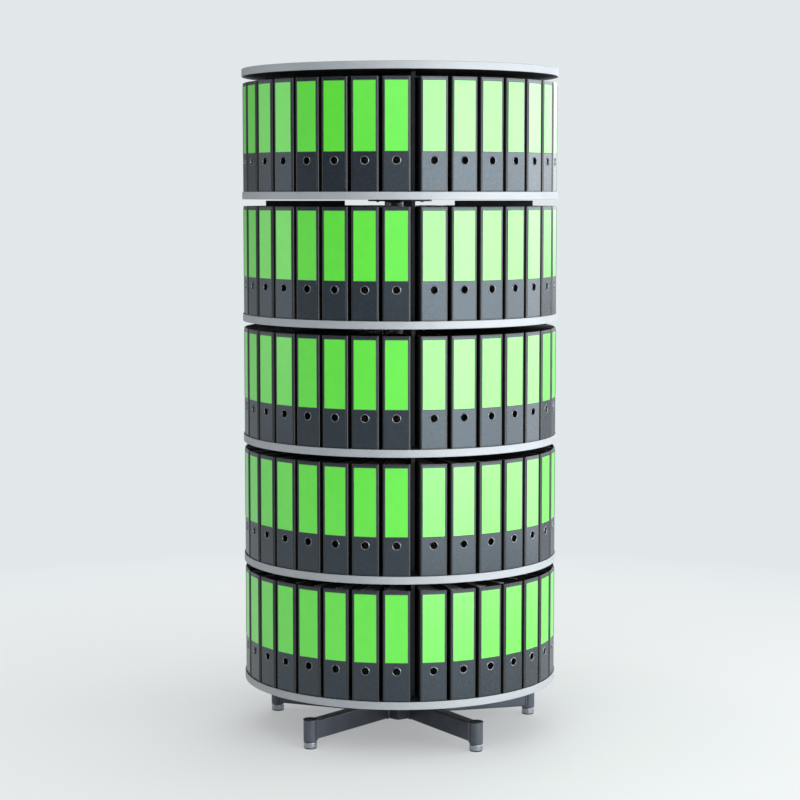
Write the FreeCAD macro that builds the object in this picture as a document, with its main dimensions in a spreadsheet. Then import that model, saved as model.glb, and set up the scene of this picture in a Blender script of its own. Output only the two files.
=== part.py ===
import FreeCAD, Part
import math
import os
import re

import Sketcher

# Rotary filing cabinet for A4 lever arch binders. Millimetres, +Z up, the floor at z = 0 and the
# column's axis at x = y = 0. The cabinet's front faces -Y. Every radial piece is drawn along +X in
# its body's own frame, and the body is lifted to its height and turned about the column.

TIERS = 5
ARMS = 5
DIVIDERS = 4
BINDERS_PER_GROUP = 8
FLANGE_SCREWS = 4
FRONT = -90  # degrees from +X to the direction that faces the front

SIZES = {
    # round boards
    "board_diameter": 940,
    "board_thickness": 22,
    "edge_band": 2,
    "edge_rounding": 1.2,
    "headroom": 20,
    # column and what is clamped to it
    "column_diameter": 60,
    "column_wall": 3,
    "neck_wall": 8,
    "neck_length": 28,
    "neck_gap": 4.7,
    "collar_wall": 16,
    "collar_height": 18,
    "washer_thickness": 3,
    "set_screw_diameter": 8,
    "set_screw_recess": 1,
    # hub of a storey and flange of the top board
    "sleeve_wall": 8,
    "sleeve_height": 40,
    "flange_diameter": 190,
    "flange_thickness": 6,
    # screws and bolts
    "screw_diameter": 4.5,
    "screw_head_diameter": 9,
    "screw_head_height": 3,
    "flange_screw_depth": 12,
    "divider_screw_depth": 28,
    "divider_screw_inset": 40,
    "bolt_diameter": 8,
    "bolt_head_width": 13,
    "bolt_head_height": 5.3,
    "bolt_depth": 22,
    # star base
    "arm_height": 55,
    "arm_width": 35,
    "arm_wall": 2.5,
    "arm_rounding": 3,
    "arm_lift": 5,
    "foot_circle": 820,
    "star_turn": 32.5,
    "socket_diameter": 40,
    "socket_wall": 3,
    "socket_rise": 2,
    "cap_rim": 1,
    "cap_thickness": 3,
    "cap_plug_depth": 10,
    "nut_height": 12,
    "pad_diameter": 38,
    "pad_height": 20,
    "pad_gap": 2,
    "pad_rounding": 2.5,
    "stem_diameter": 10,
    "stem_length": 38,
    "column_flange_diameter": 150,
    "column_flange_thickness": 8,
    # radial dividers
    "divider_thickness": 12,
    "divider_turn": 5.3,
    "divider_setback": 65,
    "divider_inner_reach": 15,
    "divider_top_gap": 4,
    # binders
    "binder_height": 318,
    "binder_depth": 285,
    "spine_setback": 5,
    "spine_gap": 9.55,
    "spine_rounding": 4,
    "divider_room": 2,
    "divider_side_gap": 1.4,
    "cover_thickness": 2.5,
    "finger_hole_diameter": 22,
    "finger_hole_height": 87,
    "mechanism_room": 64,
    "paper_inset": 8,
    "paper_recess": 10.5,
    # clearances
    "running_clearance": 0.05,
    "joint_gap": 0.3,
    "assembly_clearance": 0.1,
    "bore_clearance": 0.5,
    "paper_clearance": 0.5,
}

doc = FreeCAD.newDocument("RotaryFilingCabinet")
sheet = doc.addObject("Spreadsheet::Sheet", "Dim")
for row, (alias, number) in enumerate(SIZES.items(), start=1):
    sheet.set(f"A{row}", alias)
    sheet.set(f"B{row}", str(number))
    sheet.setAlias(f"B{row}", alias)
doc.recompute()

# Sizes that several pieces share, as formulas of the sheet's cells. Angles are in degrees.
SCREW_RADIUS = "(screw_diameter / 2)"
SCREW_HOLE = f"({SCREW_RADIUS} + assembly_clearance)"
SET_SCREW_RADIUS = "(set_screw_diameter / 2)"
SET_SCREW_HOLE = f"({SET_SCREW_RADIUS} + assembly_clearance)"
BOLT_HOLE = "(bolt_diameter / 2 + assembly_clearance)"
# radii about the column
BOARD_RADIUS = "(board_diameter / 2)"
CORE_RADIUS = f"({BOARD_RADIUS} - edge_band)"
COLUMN_RADIUS = "(column_diameter / 2)"
COLUMN_BORE = f"({COLUMN_RADIUS} - column_wall)"
CLAMP_RADIUS = f"({COLUMN_RADIUS} + assembly_clearance)"
NECK_RADIUS = f"({CLAMP_RADIUS} + neck_wall)"
COLLAR_RADIUS = f"({CLAMP_RADIUS} + collar_wall)"
SLEEVE_BORE = f"({COLUMN_RADIUS} + running_clearance)"
SLEEVE_RADIUS = f"({SLEEVE_BORE} + sleeve_wall)"
FLANGE_RADIUS = "(flange_diameter / 2)"
FLANGE_SCREW_RADIUS = f"(({SLEEVE_RADIUS} + {FLANGE_RADIUS}) / 2)"
COLUMN_FLANGE_RADIUS = "(column_flange_diameter / 2)"
BOLT_CIRCLE_RADIUS = f"(({NECK_RADIUS} + {COLUMN_FLANGE_RADIUS}) / 2)"
HUB_APOTHEM = COLUMN_FLANGE_RADIUS
FOOT_RADIUS = "(foot_circle / 2)"
SOCKET_RADIUS = "(socket_diameter / 2)"
SOCKET_BORE = f"({SOCKET_RADIUS} - socket_wall)"
SPINE_RADIUS = f"({BOARD_RADIUS} - spine_setback)"
FORE_EDGE_RADIUS = f"({SPINE_RADIUS} - binder_depth)"
DIVIDER_INNER = f"({FORE_EDGE_RADIUS} - divider_inner_reach)"
DIVIDER_OUTER = f"({SPINE_RADIUS} - divider_setback)"
# heights above the floor
SOCKET_BOTTOM = "(pad_height + pad_gap)"
ARM_BOTTOM = f"({SOCKET_BOTTOM} + arm_lift)"
HUB_TOP = f"({ARM_BOTTOM} + arm_height)"
SOCKET_TOP = f"({HUB_TOP} + socket_rise)"
COLUMN_FOOT = f"({HUB_TOP} + column_flange_thickness)"
BEARING_STACK = "(collar_height + washer_thickness + joint_gap + flange_thickness)"
FIRST_BOARD_TOP = f"({COLUMN_FOOT} + neck_length + neck_gap + {BEARING_STACK} + board_thickness)"
TIER_PITCH = "(binder_height + headroom + board_thickness)"
TOP_BOARD_TOP = f"({FIRST_BOARD_TOP} + {TIERS} * {TIER_PITCH})"
# heights from the top of a storey's board, or of the top board
UNDERSIDE = "(-board_thickness)"
FLANGE_BOTTOM = f"({UNDERSIDE} - flange_thickness)"
WASHER_TOP = f"({FLANGE_BOTTOM} - joint_gap)"
COLLAR_TOP = f"({WASHER_TOP} - washer_thickness)"
COLLAR_BOTTOM = f"({COLLAR_TOP} - collar_height)"
DIVIDER_HEIGHT = "(binder_height + headroom - divider_top_gap)"
# a binder between its neighbours
BINDER_STEP = f"(({360 / DIVIDERS} - divider_room) / {BINDERS_PER_GROUP})"
BESIDE_DIVIDER = f"(({BINDER_STEP} + divider_room) / 2)"
HALF_SPINE = f"({SPINE_RADIUS} * tan({BINDER_STEP} / 2) - spine_gap / 2)"
HALF_FORE_EDGE = (
    f"({FORE_EDGE_RADIUS} * sin({BESIDE_DIVIDER}) - divider_thickness / 2 - divider_side_gap)"
)
COVER_SLOPE = f"(({HALF_SPINE} - {HALF_FORE_EDGE}) / binder_depth)"
# turns about the column
STAR_TURN = f"({FRONT} + star_turn)"
TIER_TURN = f"({FRONT} + divider_turn)"


def formula(text):
    """The same formula with the sheet's name in front of each of its cells."""
    return re.sub(r"[a-z_]+", lambda word: "Dim." + word[0] if word[0] in SIZES else word[0], text)


def value(text):
    return float(sheet.evalExpression(text))


def bind(thing, prop, text):
    thing.setExpression(prop, formula(text))


def add_body(label, height="0", turn="0"):
    """A body whose own frame is lifted by height and turned about the column."""
    body = doc.addObject("PartDesign::Body", label)
    body.Label = label
    bind(body, "Placement.Base.z", height)
    bind(body, "Placement.Rotation.Angle", turn)
    return body


def origin(body, role):
    return next(feature for feature in body.Origin.OriginFeatures if feature.Role == role)


def add_sketch(body, plane, offset="0"):
    sketch = body.newObject("Sketcher::SketchObject", body.Label + "_sketch")
    sketch.AttachmentSupport = [(origin(body, plane), "")]
    sketch.MapMode = "FlatFace"
    bind(sketch, "AttachmentOffset.Base.z", offset)
    return sketch


def fix_point(sketch, geometry, point, x, y):
    """Hold a point of the sketch at two formulas, measured from the sketch's origin."""
    for kind, text in (("DistanceX", x), ("DistanceY", y)):
        index = sketch.addConstraint(Sketcher.Constraint(kind, -1, 1, geometry, point, value(text)))
        bind(sketch, f"Constraints[{index}]", text)


def draw_outline(sketch, corners):
    """A closed outline of straight lines through corners given as pairs of formulas."""
    points = [FreeCAD.Vector(value(x), value(y), 0) for x, y in corners]
    first = sketch.GeometryCount
    for start, end in zip(points, points[1:] + points[:1]):
        sketch.addGeometry(Part.LineSegment(start, end), False)
    for index, (x, y) in enumerate(corners):
        after = (index + 1) % len(corners)
        sketch.addConstraint(Sketcher.Constraint("Coincident", first + index, 2, first + after, 1))
        fix_point(sketch, first + index, 1, x, y)


def draw_circle(sketch, x, y, radius):
    centre = FreeCAD.Vector(value(x), value(y), 0)
    geometry = sketch.addGeometry(Part.Circle(centre, FreeCAD.Vector(0, 0, 1), value(radius)), False)
    index = sketch.addConstraint(Sketcher.Constraint("Radius", geometry, value(radius)))
    bind(sketch, f"Constraints[{index}]", radius)
    fix_point(sketch, geometry, 3, x, y)


def pad(body, sketch, length):
    feature = body.newObject("PartDesign::Pad", body.Label + "_pad")
    feature.Profile = sketch
    bind(feature, "Length", length)
    return feature


def pocket(body, sketch, depth):
    """Cut from the sketch's plane, against its normal."""
    feature = body.newObject("PartDesign::Pocket", body.Label + "_pocket")
    feature.Profile = sketch
    bind(feature, "Length", depth)
    return feature


def turn_outline(body, corners, radius="0", kind="Revolution"):
    """Turn an outline of (distance, height) corners about an upright line at a radius along X."""
    sketch = add_sketch(body, "XZ_Plane")
    draw_outline(sketch, [(f"{radius} + {x}", y) for x, y in corners])
    low, high = corners[0][1], corners[-1][1]
    ends = [FreeCAD.Vector(value(radius), value(level), 0) for level in (low, high)]
    axis = sketch.addGeometry(Part.LineSegment(*ends), True)
    fix_point(sketch, axis, 1, radius, low)
    fix_point(sketch, axis, 2, radius, high)
    feature = body.newObject("PartDesign::" + kind, body.Label + "_turned")
    feature.Profile = sketch
    feature.ReferenceAxis = (sketch, ["Axis0"])
    feature.Angle = 360
    return feature


def round_edges(body, feature, radius, chosen):
    """Fillet the feature's edges that chosen accepts."""
    doc.recompute()
    names = [f"Edge{n}" for n, edge in enumerate(feature.Shape.Edges, start=1) if chosen(edge)]
    fillet = body.newObject("PartDesign::Fillet", body.Label + "_fillet")
    fillet.Base = (feature, names)
    bind(fillet, "Radius", radius)
    return fillet


def repeat_around(body, features, count):
    pattern = body.newObject("PartDesign::PolarPattern", body.Label + "_around")
    pattern.Originals = features
    pattern.Axis = (origin(body, "Z_Axis"), [""])
    pattern.Angle = 360
    pattern.Occurrences = count
    body.Tip = pattern
    return pattern


def repeat_piece_around(body, count):
    """Copies of everything drawn so far, as separate solids around the column."""
    repeat_around(body, [], count).TransformMode = "Whole shape"


def repeat_piece_per_tier(body):
    """Copies of everything drawn so far, one for each storey."""
    pattern = body.newObject("PartDesign::LinearPattern", body.Label + "_up")
    pattern.TransformMode = "Whole shape"
    pattern.Direction = (origin(body, "Z_Axis"), [""])
    bind(pattern, "Length", f"{TIER_PITCH} * {TIERS - 1}")
    pattern.Occurrences = TIERS
    body.Tip = pattern


def tube(inner, outer, bottom, top):
    return [(inner, bottom), (outer, bottom), (outer, top), (inner, top)]


def cylinder(radius, bottom, top):
    return tube("0", radius, bottom, top)


# ---------------------------------------------------------------- star base


def base_hub():
    """Five-sided steel hub: each arm is welded to one of its flat sides."""
    body = add_body("base_hub", ARM_BOTTOM, STAR_TURN)
    sketch = add_sketch(body, "XY_Plane")
    half_side = 180 / ARMS
    reach = f"{HUB_APOTHEM} / cos({half_side})"
    turns = [half_side * (2 * side + 1) for side in range(ARMS)]
    draw_outline(sketch, [(f"{reach} * cos({turn})", f"{reach} * sin({turn})") for turn in turns])
    draw_circle(sketch, "0", "0", COLUMN_BORE)
    pad(body, sketch, "arm_height")
    tapping = add_sketch(body, "XY_Plane", "arm_height")
    draw_circle(tapping, BOLT_CIRCLE_RADIUS, "0", BOLT_HOLE)
    hole = pocket(body, tapping, "bolt_depth + assembly_clearance")
    repeat_around(body, [hole], ARMS)


def base_arms():
    """Rectangular tubes, their outer ends coped to fit round the foot sockets."""
    body = add_body("base_arms", ARM_BOTTOM, STAR_TURN)
    section = add_sketch(body, "YZ_Plane", HUB_APOTHEM)
    for inset in ("0", "arm_wall"):
        side = f"(arm_width / 2 - {inset})"
        bottom, top = inset, f"(arm_height - {inset})"
        draw_outline(section, [(f"-{side}", bottom), (side, bottom), (side, top), (f"-{side}", top)])
    bar = pad(body, section, f"{FOOT_RADIUS} - {HUB_APOTHEM}")
    half_width = value("arm_width / 2")

    def is_long_outer_edge(edge):
        box = edge.BoundBox
        return box.XLength > 1 and math.isclose(abs(box.Center.y), half_width, abs_tol=0.01)

    round_edges(body, bar, "arm_rounding", is_long_outer_edge)
    cope = add_sketch(body, "XY_Plane", "arm_height")
    draw_circle(cope, FOOT_RADIUS, "0", f"{SOCKET_RADIUS} + assembly_clearance")
    pocket(body, cope, "arm_height")
    repeat_piece_around(body, ARMS)


def foot_sockets():
    body = add_body("foot_sockets", "0", STAR_TURN)
    turn_outline(body, tube(SOCKET_BORE, SOCKET_RADIUS, SOCKET_BOTTOM, SOCKET_TOP), FOOT_RADIUS)
    repeat_piece_around(body, ARMS)


def socket_caps():
    body = add_body("socket_caps", SOCKET_TOP, STAR_TURN)
    plug_radius = f"({SOCKET_BORE} - assembly_clearance)"
    rim_radius = f"({SOCKET_RADIUS} + cap_rim)"
    turn_outline(body, [
        ("0", "-cap_plug_depth"),
        (plug_radius, "-cap_plug_depth"),
        (plug_radius, "0"),
        (rim_radius, "0"),
        (rim_radius, "cap_thickness - cap_rim"),
        (f"{rim_radius} - cap_rim", "cap_thickness"),
        ("0", "cap_thickness"),
    ], FOOT_RADIUS)
    repeat_piece_around(body, ARMS)


def foot_nuts():
    body = add_body("foot_nuts", SOCKET_BOTTOM, STAR_TURN)
    bore = "(stem_diameter / 2 + running_clearance)"
    outer = f"({SOCKET_BORE} - assembly_clearance)"
    turn_outline(body, tube(bore, outer, "0", "nut_height"), FOOT_RADIUS)
    repeat_piece_around(body, ARMS)


def levelling_foot(number):
    """Glide pad and threaded stem, drawn about its own axis and placed under its socket."""
    body = add_body(f"levelling_foot_{number}")
    turn = f"({STAR_TURN} + {(number - 1) * 360 / ARMS})"
    bind(body, "Placement.Base.x", f"{FOOT_RADIUS} * cos({turn})")
    bind(body, "Placement.Base.y", f"{FOOT_RADIUS} * sin({turn})")
    pad_radius = "pad_diameter / 2"
    glide = turn_outline(body, cylinder(pad_radius, "0", "pad_height"))
    rim = value(pad_radius)
    round_edges(body, glide, "pad_rounding",
                lambda edge: len(edge.Vertexes) == 1 and math.isclose(edge.Curve.Radius, rim))
    turn_outline(body, cylinder("stem_diameter / 2", "pad_height", "pad_height + stem_length"))


# ---------------------------------------------------------------- column


def side_hole(body, radius, height, depth):
    """Radial hole for a set screw, cut inwards from a neck's or collar's outer radius."""
    side = add_sketch(body, "YZ_Plane", radius)
    draw_circle(side, "0", height, SET_SCREW_HOLE)
    pocket(body, side, f"{depth} + assembly_clearance")


def column_flange():
    """Plate bolted on the hub, with the neck that grips the column's foot."""
    body = add_body("column_flange", HUB_TOP, STAR_TURN)
    neck_top = "(column_flange_thickness + neck_length)"
    turn_outline(body, [
        (CLAMP_RADIUS, "0"),
        (COLUMN_FLANGE_RADIUS, "0"),
        (COLUMN_FLANGE_RADIUS, "column_flange_thickness"),
        (NECK_RADIUS, "column_flange_thickness"),
        (NECK_RADIUS, neck_top),
        (CLAMP_RADIUS, neck_top),
    ])
    side_hole(body, NECK_RADIUS, f"{neck_top} - neck_length / 2", "neck_wall")
    drilling = add_sketch(body, "XY_Plane", "column_flange_thickness")
    draw_circle(drilling, BOLT_CIRCLE_RADIUS, "0", BOLT_HOLE)
    hole = pocket(body, drilling, "column_flange_thickness")
    repeat_around(body, [hole], ARMS)


def column_flange_bolts():
    body = add_body("column_flange_bolts", COLUMN_FOOT, STAR_TURN)
    shank_bottom = "(-column_flange_thickness - bolt_depth)"
    turn_outline(body, cylinder("bolt_diameter / 2", shank_bottom, "0"), BOLT_CIRCLE_RADIUS)
    head = add_sketch(body, "XY_Plane")
    reach = "bolt_head_width / 2 / cos(30)"
    draw_outline(head, [
        (f"{BOLT_CIRCLE_RADIUS} + {reach} * cos({turn})", f"{reach} * sin({turn})")
        for turn in range(0, 360, 60)
    ])
    pad(body, head, "bolt_head_height")
    repeat_piece_around(body, ARMS)


def column_tube():
    body = add_body("column_tube", HUB_TOP)
    height = f"({TOP_BOARD_TOP} - board_thickness - {HUB_TOP})"
    turn_outline(body, tube(COLUMN_BORE, COLUMN_RADIUS, "0", height))


def column_collars():
    body = add_body("column_collars", FIRST_BOARD_TOP, STAR_TURN)
    turn_outline(body, tube(CLAMP_RADIUS, COLLAR_RADIUS, COLLAR_BOTTOM, COLLAR_TOP))
    side_hole(body, COLLAR_RADIUS, f"{COLLAR_TOP} - collar_height / 2", "collar_wall")
    repeat_piece_per_tier(body)


def glide_washers():
    """Plastic washers on the collars: each carries a storey, which turns on it."""
    body = add_body("glide_washers", FIRST_BOARD_TOP)
    turn_outline(body, tube(CLAMP_RADIUS, COLLAR_RADIUS, COLLAR_TOP, WASHER_TOP))
    repeat_piece_per_tier(body)


def add_set_screw(body, height, wall):
    side = add_sketch(body, "YZ_Plane", CLAMP_RADIUS)
    draw_circle(side, "0", height, SET_SCREW_RADIUS)
    pad(body, side, f"{wall} - set_screw_recess")


def set_screws():
    """Grub screws that press on the column: one in each collar and one in each neck."""
    body = add_body("set_screws", "0", STAR_TURN)
    add_set_screw(body, f"{FIRST_BOARD_TOP} + {COLLAR_TOP} - collar_height / 2", "collar_wall")
    repeat_piece_per_tier(body)
    add_set_screw(body, f"{COLUMN_FOOT} + neck_length / 2", "neck_wall")
    add_set_screw(body, f"{TOP_BOARD_TOP} + {FLANGE_BOTTOM} - neck_length / 2", "neck_wall")


# ---------------------------------------------------------------- boards and flanges


def drill_flange_holes(body, top, depth):
    """Screw holes down from a height, in line with those of the flange or board that meets it."""
    drilling = add_sketch(body, "XY_Plane", top)
    draw_circle(drilling, FLANGE_SCREW_RADIUS, "0", SCREW_HOLE)
    hole = pocket(body, drilling, depth)
    repeat_around(body, [hole], FLANGE_SCREWS)


def round_board(label, height, turn, bore):
    """Board with blind screw holes in its underside for the flange below it."""
    body = add_body(label, height, turn)
    turn_outline(body, tube(bore, CORE_RADIUS, UNDERSIDE, "0"))
    depth = "(flange_screw_depth + assembly_clearance)"
    drill_flange_holes(body, f"{UNDERSIDE} + {depth}", depth)
    return body


def edge_band(label, height):
    """Silver rim round a board, its two outer edges slightly rounded."""
    body = add_body(label, height)
    band = turn_outline(body, tube(CORE_RADIUS, BOARD_RADIUS, UNDERSIDE, "0"))
    rim = value(BOARD_RADIUS)
    round_edges(body, band, "edge_rounding",
                lambda edge: len(edge.Vertexes) == 1 and math.isclose(edge.Curve.Radius, rim))


def top_flange():
    """Plate under the top board, with the neck that grips the column's upper end."""
    body = add_body("top_flange", TOP_BOARD_TOP, STAR_TURN)
    neck_bottom = f"({FLANGE_BOTTOM} - neck_length)"
    turn_outline(body, [
        (CLAMP_RADIUS, neck_bottom),
        (NECK_RADIUS, neck_bottom),
        (NECK_RADIUS, FLANGE_BOTTOM),
        (FLANGE_RADIUS, FLANGE_BOTTOM),
        (FLANGE_RADIUS, UNDERSIDE),
        (CLAMP_RADIUS, UNDERSIDE),
    ])
    side_hole(body, NECK_RADIUS, f"{FLANGE_BOTTOM} - neck_length / 2", "neck_wall")
    drill_flange_holes(body, UNDERSIDE, "flange_thickness")


def top_flange_screws():
    body = add_body("top_flange_screws", TOP_BOARD_TOP, STAR_TURN)
    add_flange_screw(body)
    repeat_piece_around(body, FLANGE_SCREWS)


def add_flange_screw(body):
    """Pan head screw through a flange into the board above it."""
    tip = f"({UNDERSIDE} + flange_screw_depth)"
    head_bottom = f"({FLANGE_BOTTOM} - screw_head_height)"
    turn_outline(body, [
        ("0", head_bottom),
        ("screw_head_diameter / 2", head_bottom),
        ("screw_head_diameter / 2", FLANGE_BOTTOM),
        (SCREW_RADIUS, FLANGE_BOTTOM),
        (SCREW_RADIUS, tip),
        ("0", tip),
    ], FLANGE_SCREW_RADIUS)


# ---------------------------------------------------------------- one storey


def tier_height(tier):
    return f"({FIRST_BOARD_TOP} + {tier - 1} * {TIER_PITCH})"


def divider_screw_radii():
    return f"({DIVIDER_INNER} + divider_screw_inset)", f"({DIVIDER_OUTER} - divider_screw_inset)"


def countersunk(radius, clearance, tip):
    """Outline of a countersunk screw, or of its hole, that goes up from a board's underside."""
    return [
        ("0", UNDERSIDE),
        (f"screw_head_diameter / 2 + {clearance}", UNDERSIDE),
        (f"{radius}", f"{UNDERSIDE} + screw_head_height"),
        (f"{radius}", tip),
        ("0", tip),
    ]


def tier_board(tier):
    bore = f"({SLEEVE_RADIUS} + bore_clearance)"
    body = round_board(f"tier_{tier}_board", tier_height(tier), TIER_TURN, bore)
    holes = [
        turn_outline(body, countersunk(SCREW_HOLE, "assembly_clearance", "0"), radius, "Groove")
        for radius in divider_screw_radii()
    ]
    repeat_around(body, holes, DIVIDERS)


def tier_hub(tier):
    """Flange under the board, with the sleeve that runs on the column."""
    body = add_body(f"tier_{tier}_hub", tier_height(tier), TIER_TURN)
    turn_outline(body, [
        (SLEEVE_BORE, FLANGE_BOTTOM),
        (FLANGE_RADIUS, FLANGE_BOTTOM),
        (FLANGE_RADIUS, UNDERSIDE),
        (SLEEVE_RADIUS, UNDERSIDE),
        (SLEEVE_RADIUS, "sleeve_height"),
        (SLEEVE_BORE, "sleeve_height"),
    ])
    drill_flange_holes(body, UNDERSIDE, "flange_thickness")


def tier_screws(tier):
    """The hub's screws and the dividers' countersunk screws, in line with each divider."""
    body = add_body(f"tier_{tier}_screws", tier_height(tier), TIER_TURN)
    add_flange_screw(body)
    for radius in divider_screw_radii():
        turn_outline(body, countersunk(SCREW_RADIUS, "0", "divider_screw_depth"), radius)
    repeat_piece_around(body, DIVIDERS)


def tier_dividers(tier):
    body = add_body(f"tier_{tier}_dividers", tier_height(tier), TIER_TURN)
    plan = add_sketch(body, "XY_Plane")
    half = "divider_thickness / 2"
    draw_outline(plan, [
        (DIVIDER_INNER, f"-{half}"),
        (DIVIDER_OUTER, f"-{half}"),
        (DIVIDER_OUTER, half),
        (DIVIDER_INNER, half),
    ])
    pad(body, plan, DIVIDER_HEIGHT)
    hole_depth = "(divider_screw_depth + assembly_clearance)"
    for radius in divider_screw_radii():
        pilot = add_sketch(body, "XY_Plane", hole_depth)
        draw_circle(pilot, radius, "0", SCREW_HOLE)
        pocket(body, pilot, hole_depth)
    repeat_piece_around(body, DIVIDERS)


# ---------------------------------------------------------------- binders


def half_width(radius, inset="0"):
    """Half of a binder's width at a radius, less an inset."""
    return f"({HALF_FORE_EDGE} + ({radius} - {FORE_EDGE_RADIUS}) * {COVER_SLOPE} - {inset})"


def round_spine(body, feature):
    corner = value(HALF_SPINE)

    def is_spine_edge(edge):
        box = edge.BoundBox
        return box.ZLength > 1 and math.isclose(abs(box.Center.y), corner, abs_tol=0.01)

    return round_edges(body, feature, "spine_rounding", is_spine_edge)


def add_cover(body):
    """A binder's cover: the spine with its finger hole, and two sides that close in to the fore edge."""
    inner_spine = f"({SPINE_RADIUS} - cover_thickness)"
    inner_half = half_width(inner_spine, "cover_thickness")
    inner_fore_edge = half_width(FORE_EDGE_RADIUS, "cover_thickness")
    plan = add_sketch(body, "XY_Plane")
    draw_outline(plan, [
        (FORE_EDGE_RADIUS, f"-{HALF_FORE_EDGE}"),
        (SPINE_RADIUS, f"-{HALF_SPINE}"),
        (SPINE_RADIUS, HALF_SPINE),
        (FORE_EDGE_RADIUS, HALF_FORE_EDGE),
        (FORE_EDGE_RADIUS, inner_fore_edge),
        (inner_spine, inner_half),
        (inner_spine, f"-{inner_half}"),
        (FORE_EDGE_RADIUS, f"-{inner_fore_edge}"),
    ])
    round_spine(body, pad(body, plan, "binder_height"))
    spine = add_sketch(body, "YZ_Plane", SPINE_RADIUS)
    draw_circle(spine, "0", "finger_hole_height", "finger_hole_diameter / 2")
    pocket(body, spine, "cover_thickness")


def add_papers(body, base_height, side_gap):
    """A binder's block of paper. The lever mechanism's room lies between it and the spine."""
    inner = f"({FORE_EDGE_RADIUS} + paper_inset)"
    outer = f"({SPINE_RADIUS} - cover_thickness - mechanism_room)"
    inner_half = half_width(inner, f"(cover_thickness + {side_gap})")
    outer_half = half_width(outer, f"(cover_thickness + {side_gap})")
    plan = add_sketch(body, "XY_Plane", base_height)
    draw_outline(plan, [
        (inner, f"-{inner_half}"),
        (outer, f"-{outer_half}"),
        (outer, outer_half),
        (inner, inner_half),
    ])
    pad(body, plan, "binder_height - 2 * paper_recess")


def full_binder():
    """One full binder, its papers pressed together with the cover, which every storey repeats."""
    body = add_body("full_binder")
    add_cover(body)
    add_papers(body, "paper_recess", "0")
    doc.recompute()
    return body


def tier_binders(tier, binder):
    """The binders that stay in place: all of the storey's but the one left of the front divider."""
    places = [
        group * 360 / DIVIDERS + value(BESIDE_DIVIDER) + place * value(BINDER_STEP)
        for group in range(DIVIDERS)
        for place in range(BINDERS_PER_GROUP)
    ]
    centre, up = FreeCAD.Vector(0, 0, 0), FreeCAD.Vector(0, 0, 1)
    group = doc.addObject("Part::Feature", f"tier_{tier}_binders")
    group.Shape = Part.Compound([binder.Shape.rotated(centre, up, place) for place in places[:-1]])
    bind(group, "Placement.Base.z", tier_height(tier))
    bind(group, "Placement.Rotation.Angle", TIER_TURN)


def pull_binder(tier):
    """The cover and the papers of the binder that slides out, just clear of the board."""
    height = f"({tier_height(tier)} + joint_gap)"
    turn = f"({TIER_TURN} - {BESIDE_DIVIDER})"
    add_cover(add_body(f"tier_{tier}_pull_binder", height, turn))
    add_papers(add_body(f"tier_{tier}_pull_papers", height, turn), "paper_recess", "paper_clearance")


# ---------------------------------------------------------------- the whole cabinet


def build_base():
    base_hub()
    base_arms()
    foot_sockets()
    socket_caps()
    foot_nuts()
    for number in range(1, ARMS + 1):
        levelling_foot(number)


def build_column():
    column_flange()
    column_flange_bolts()
    column_tube()
    column_collars()
    glide_washers()
    set_screws()


def build_top():
    round_board("top_board", TOP_BOARD_TOP, STAR_TURN, "0")
    edge_band("top_edge_band", TOP_BOARD_TOP)
    top_flange()
    top_flange_screws()


def build_tier(tier, binder):
    tier_board(tier)
    edge_band(f"tier_{tier}_edge_band", tier_height(tier))
    tier_hub(tier)
    tier_screws(tier)
    tier_dividers(tier)
    tier_binders(tier, binder)
    pull_binder(tier)


def pieces(pattern_body):
    """Every finished piece of the document: all but the binder that is only copied."""
    kinds = ("PartDesign::Body", "Part::Feature")
    return [item for item in doc.Objects if item.TypeId in kinds and item is not pattern_body]


def check(finished):
    for item in doc.Objects:
        if "Invalid" in item.State or "Error" in item.State:
            raise RuntimeError(f"{item.Label} is {item.State}")
    for piece in finished:
        if piece.Shape.isNull() or not piece.Shape.isValid():
            raise RuntimeError(f"{piece.Label} has no valid shape")


build_base()
build_column()
build_top()
binder = full_binder()
for storey in range(1, TIERS + 1):
    build_tier(storey, binder)
doc.recompute()
finished_pieces = pieces(binder)
check(finished_pieces)

os.makedirs("parts", exist_ok=True)
for piece in finished_pieces:
    piece.Shape.exportStep(f"parts/{piece.Label}.step")
    solids = len(piece.Shape.Solids)
    print(f"{piece.Label}: {solids} solids, {piece.Shape.Volume / 1e6:.3f} litres")
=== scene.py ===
import math

import bmesh
import bpy
from mathutils import Matrix, Vector


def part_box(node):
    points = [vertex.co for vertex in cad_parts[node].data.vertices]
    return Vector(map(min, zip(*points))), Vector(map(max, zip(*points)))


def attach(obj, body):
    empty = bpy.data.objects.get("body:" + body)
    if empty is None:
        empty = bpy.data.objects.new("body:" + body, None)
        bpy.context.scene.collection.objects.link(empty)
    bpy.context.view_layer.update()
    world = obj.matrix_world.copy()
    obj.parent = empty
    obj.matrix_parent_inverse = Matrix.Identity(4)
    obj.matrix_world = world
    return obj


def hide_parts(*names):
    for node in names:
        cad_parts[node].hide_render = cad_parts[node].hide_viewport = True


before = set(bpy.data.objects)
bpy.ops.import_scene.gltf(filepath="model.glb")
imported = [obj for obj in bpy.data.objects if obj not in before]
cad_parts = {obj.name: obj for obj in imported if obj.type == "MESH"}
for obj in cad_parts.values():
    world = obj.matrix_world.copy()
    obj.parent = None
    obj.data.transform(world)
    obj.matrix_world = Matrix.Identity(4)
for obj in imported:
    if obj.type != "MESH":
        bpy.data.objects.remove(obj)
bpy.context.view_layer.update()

# The rotary filing cabinet in metres, standing on the floor with its column on the Z axis and its
# front towards -Y. A repeated piece is drawn once, pointing along +X from the column, and is then
# set round the column by Geometry Nodes. Turns and steps are in degrees, and turns start at +X.

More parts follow.
